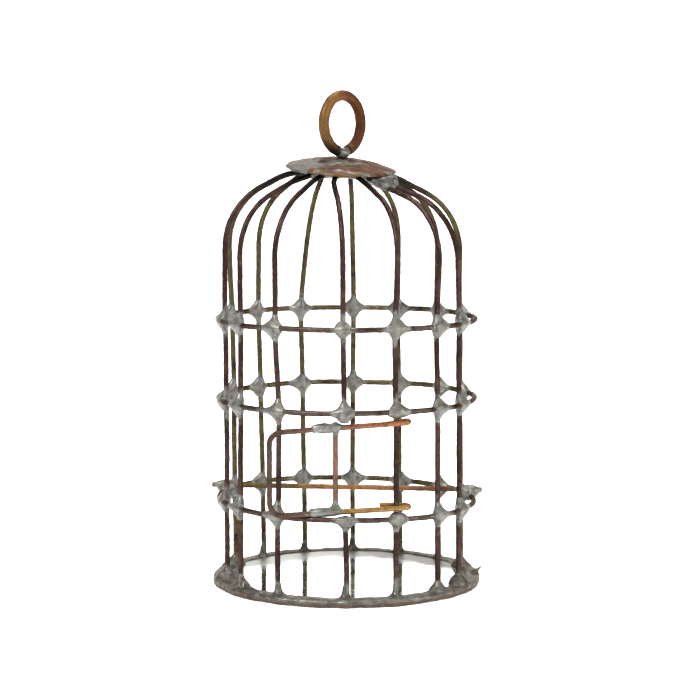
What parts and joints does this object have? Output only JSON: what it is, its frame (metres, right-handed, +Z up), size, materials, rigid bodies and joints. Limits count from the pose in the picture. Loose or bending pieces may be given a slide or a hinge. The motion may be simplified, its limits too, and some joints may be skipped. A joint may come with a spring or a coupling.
{
  "type": "miniature bird cage",
  "caption": "Miniature domed bird cage of soldered copper wire on a round mirror base, with a swinging wire door, a perch and a hanging ring.",
  "frame": {"origin": "centre of the bottom of the bounding box, which is the centre of the base's underside", "axes": "+Z up to the hanging ring; the door is at the front, which faces -Y; +X is to the right seen from the front"},
  "size_m": [0.0532, 0.052, 0.0949],
  "materials": {
    "copper_dark": "dark patinated copper wire, satin",
    "copper": "heat-toned copper wire, satin",
    "copper_ring": "browned copper wire, satin",
    "copper_cap": "hammered, streaked copper sheet",
    "solder": "dull tin solder, uneven",
    "mirror": "mirror glass, slightly hazed",
    "backing": "matt grey paint"
  },
  "bodies": {
    "cage": {"mirror_glass": "mirror", "mirror_backing": "backing", "edge_foil": "copper", "rim_solder": "solder", "bar_01_above_door": "copper_dark", "bar_01_below_door": "copper_dark", "bar_02_hinge": "copper_dark", "bar_03": "copper_dark", "bar_04": "copper_dark", "bar_05": "copper_dark", "bar_06": "copper_dark", "bar_07": "copper_dark", "bar_08": "copper_dark", "bar_09": "copper_dark", "bar_10": "copper_dark", "bar_11": "copper_dark", "bar_12": "copper_dark", "bar_13": "copper_dark", "bar_14_door_side": "copper_dark", "upper_hoop": "copper_dark", "middle_hoop": "copper_dark", "lower_hoop": "copper_dark", "perch": "copper", "perch_solder": "solder", "upper_hoop_solder": "solder", "middle_hoop_solder": "solder", "lower_hoop_solder": "solder", "foot_solder": "solder", "cap_disc": "copper_cap", "cap_solder": "solder", "hanging_ring": "copper_ring", "ring_solder": "solder"},
    "door": {"door_frame": "copper", "door_bar": "copper", "door_solder_top": "solder", "door_solder_bottom": "solder"}
  },
  "joints": [
    {"name": "door_hinge", "type": "hinge", "parent": "cage", "child": "door", "pos_m": [0.00915, -0.02176, 0.0262], "axis": [0, 0, 1], "range_deg": [0, 185]}
  ]
}
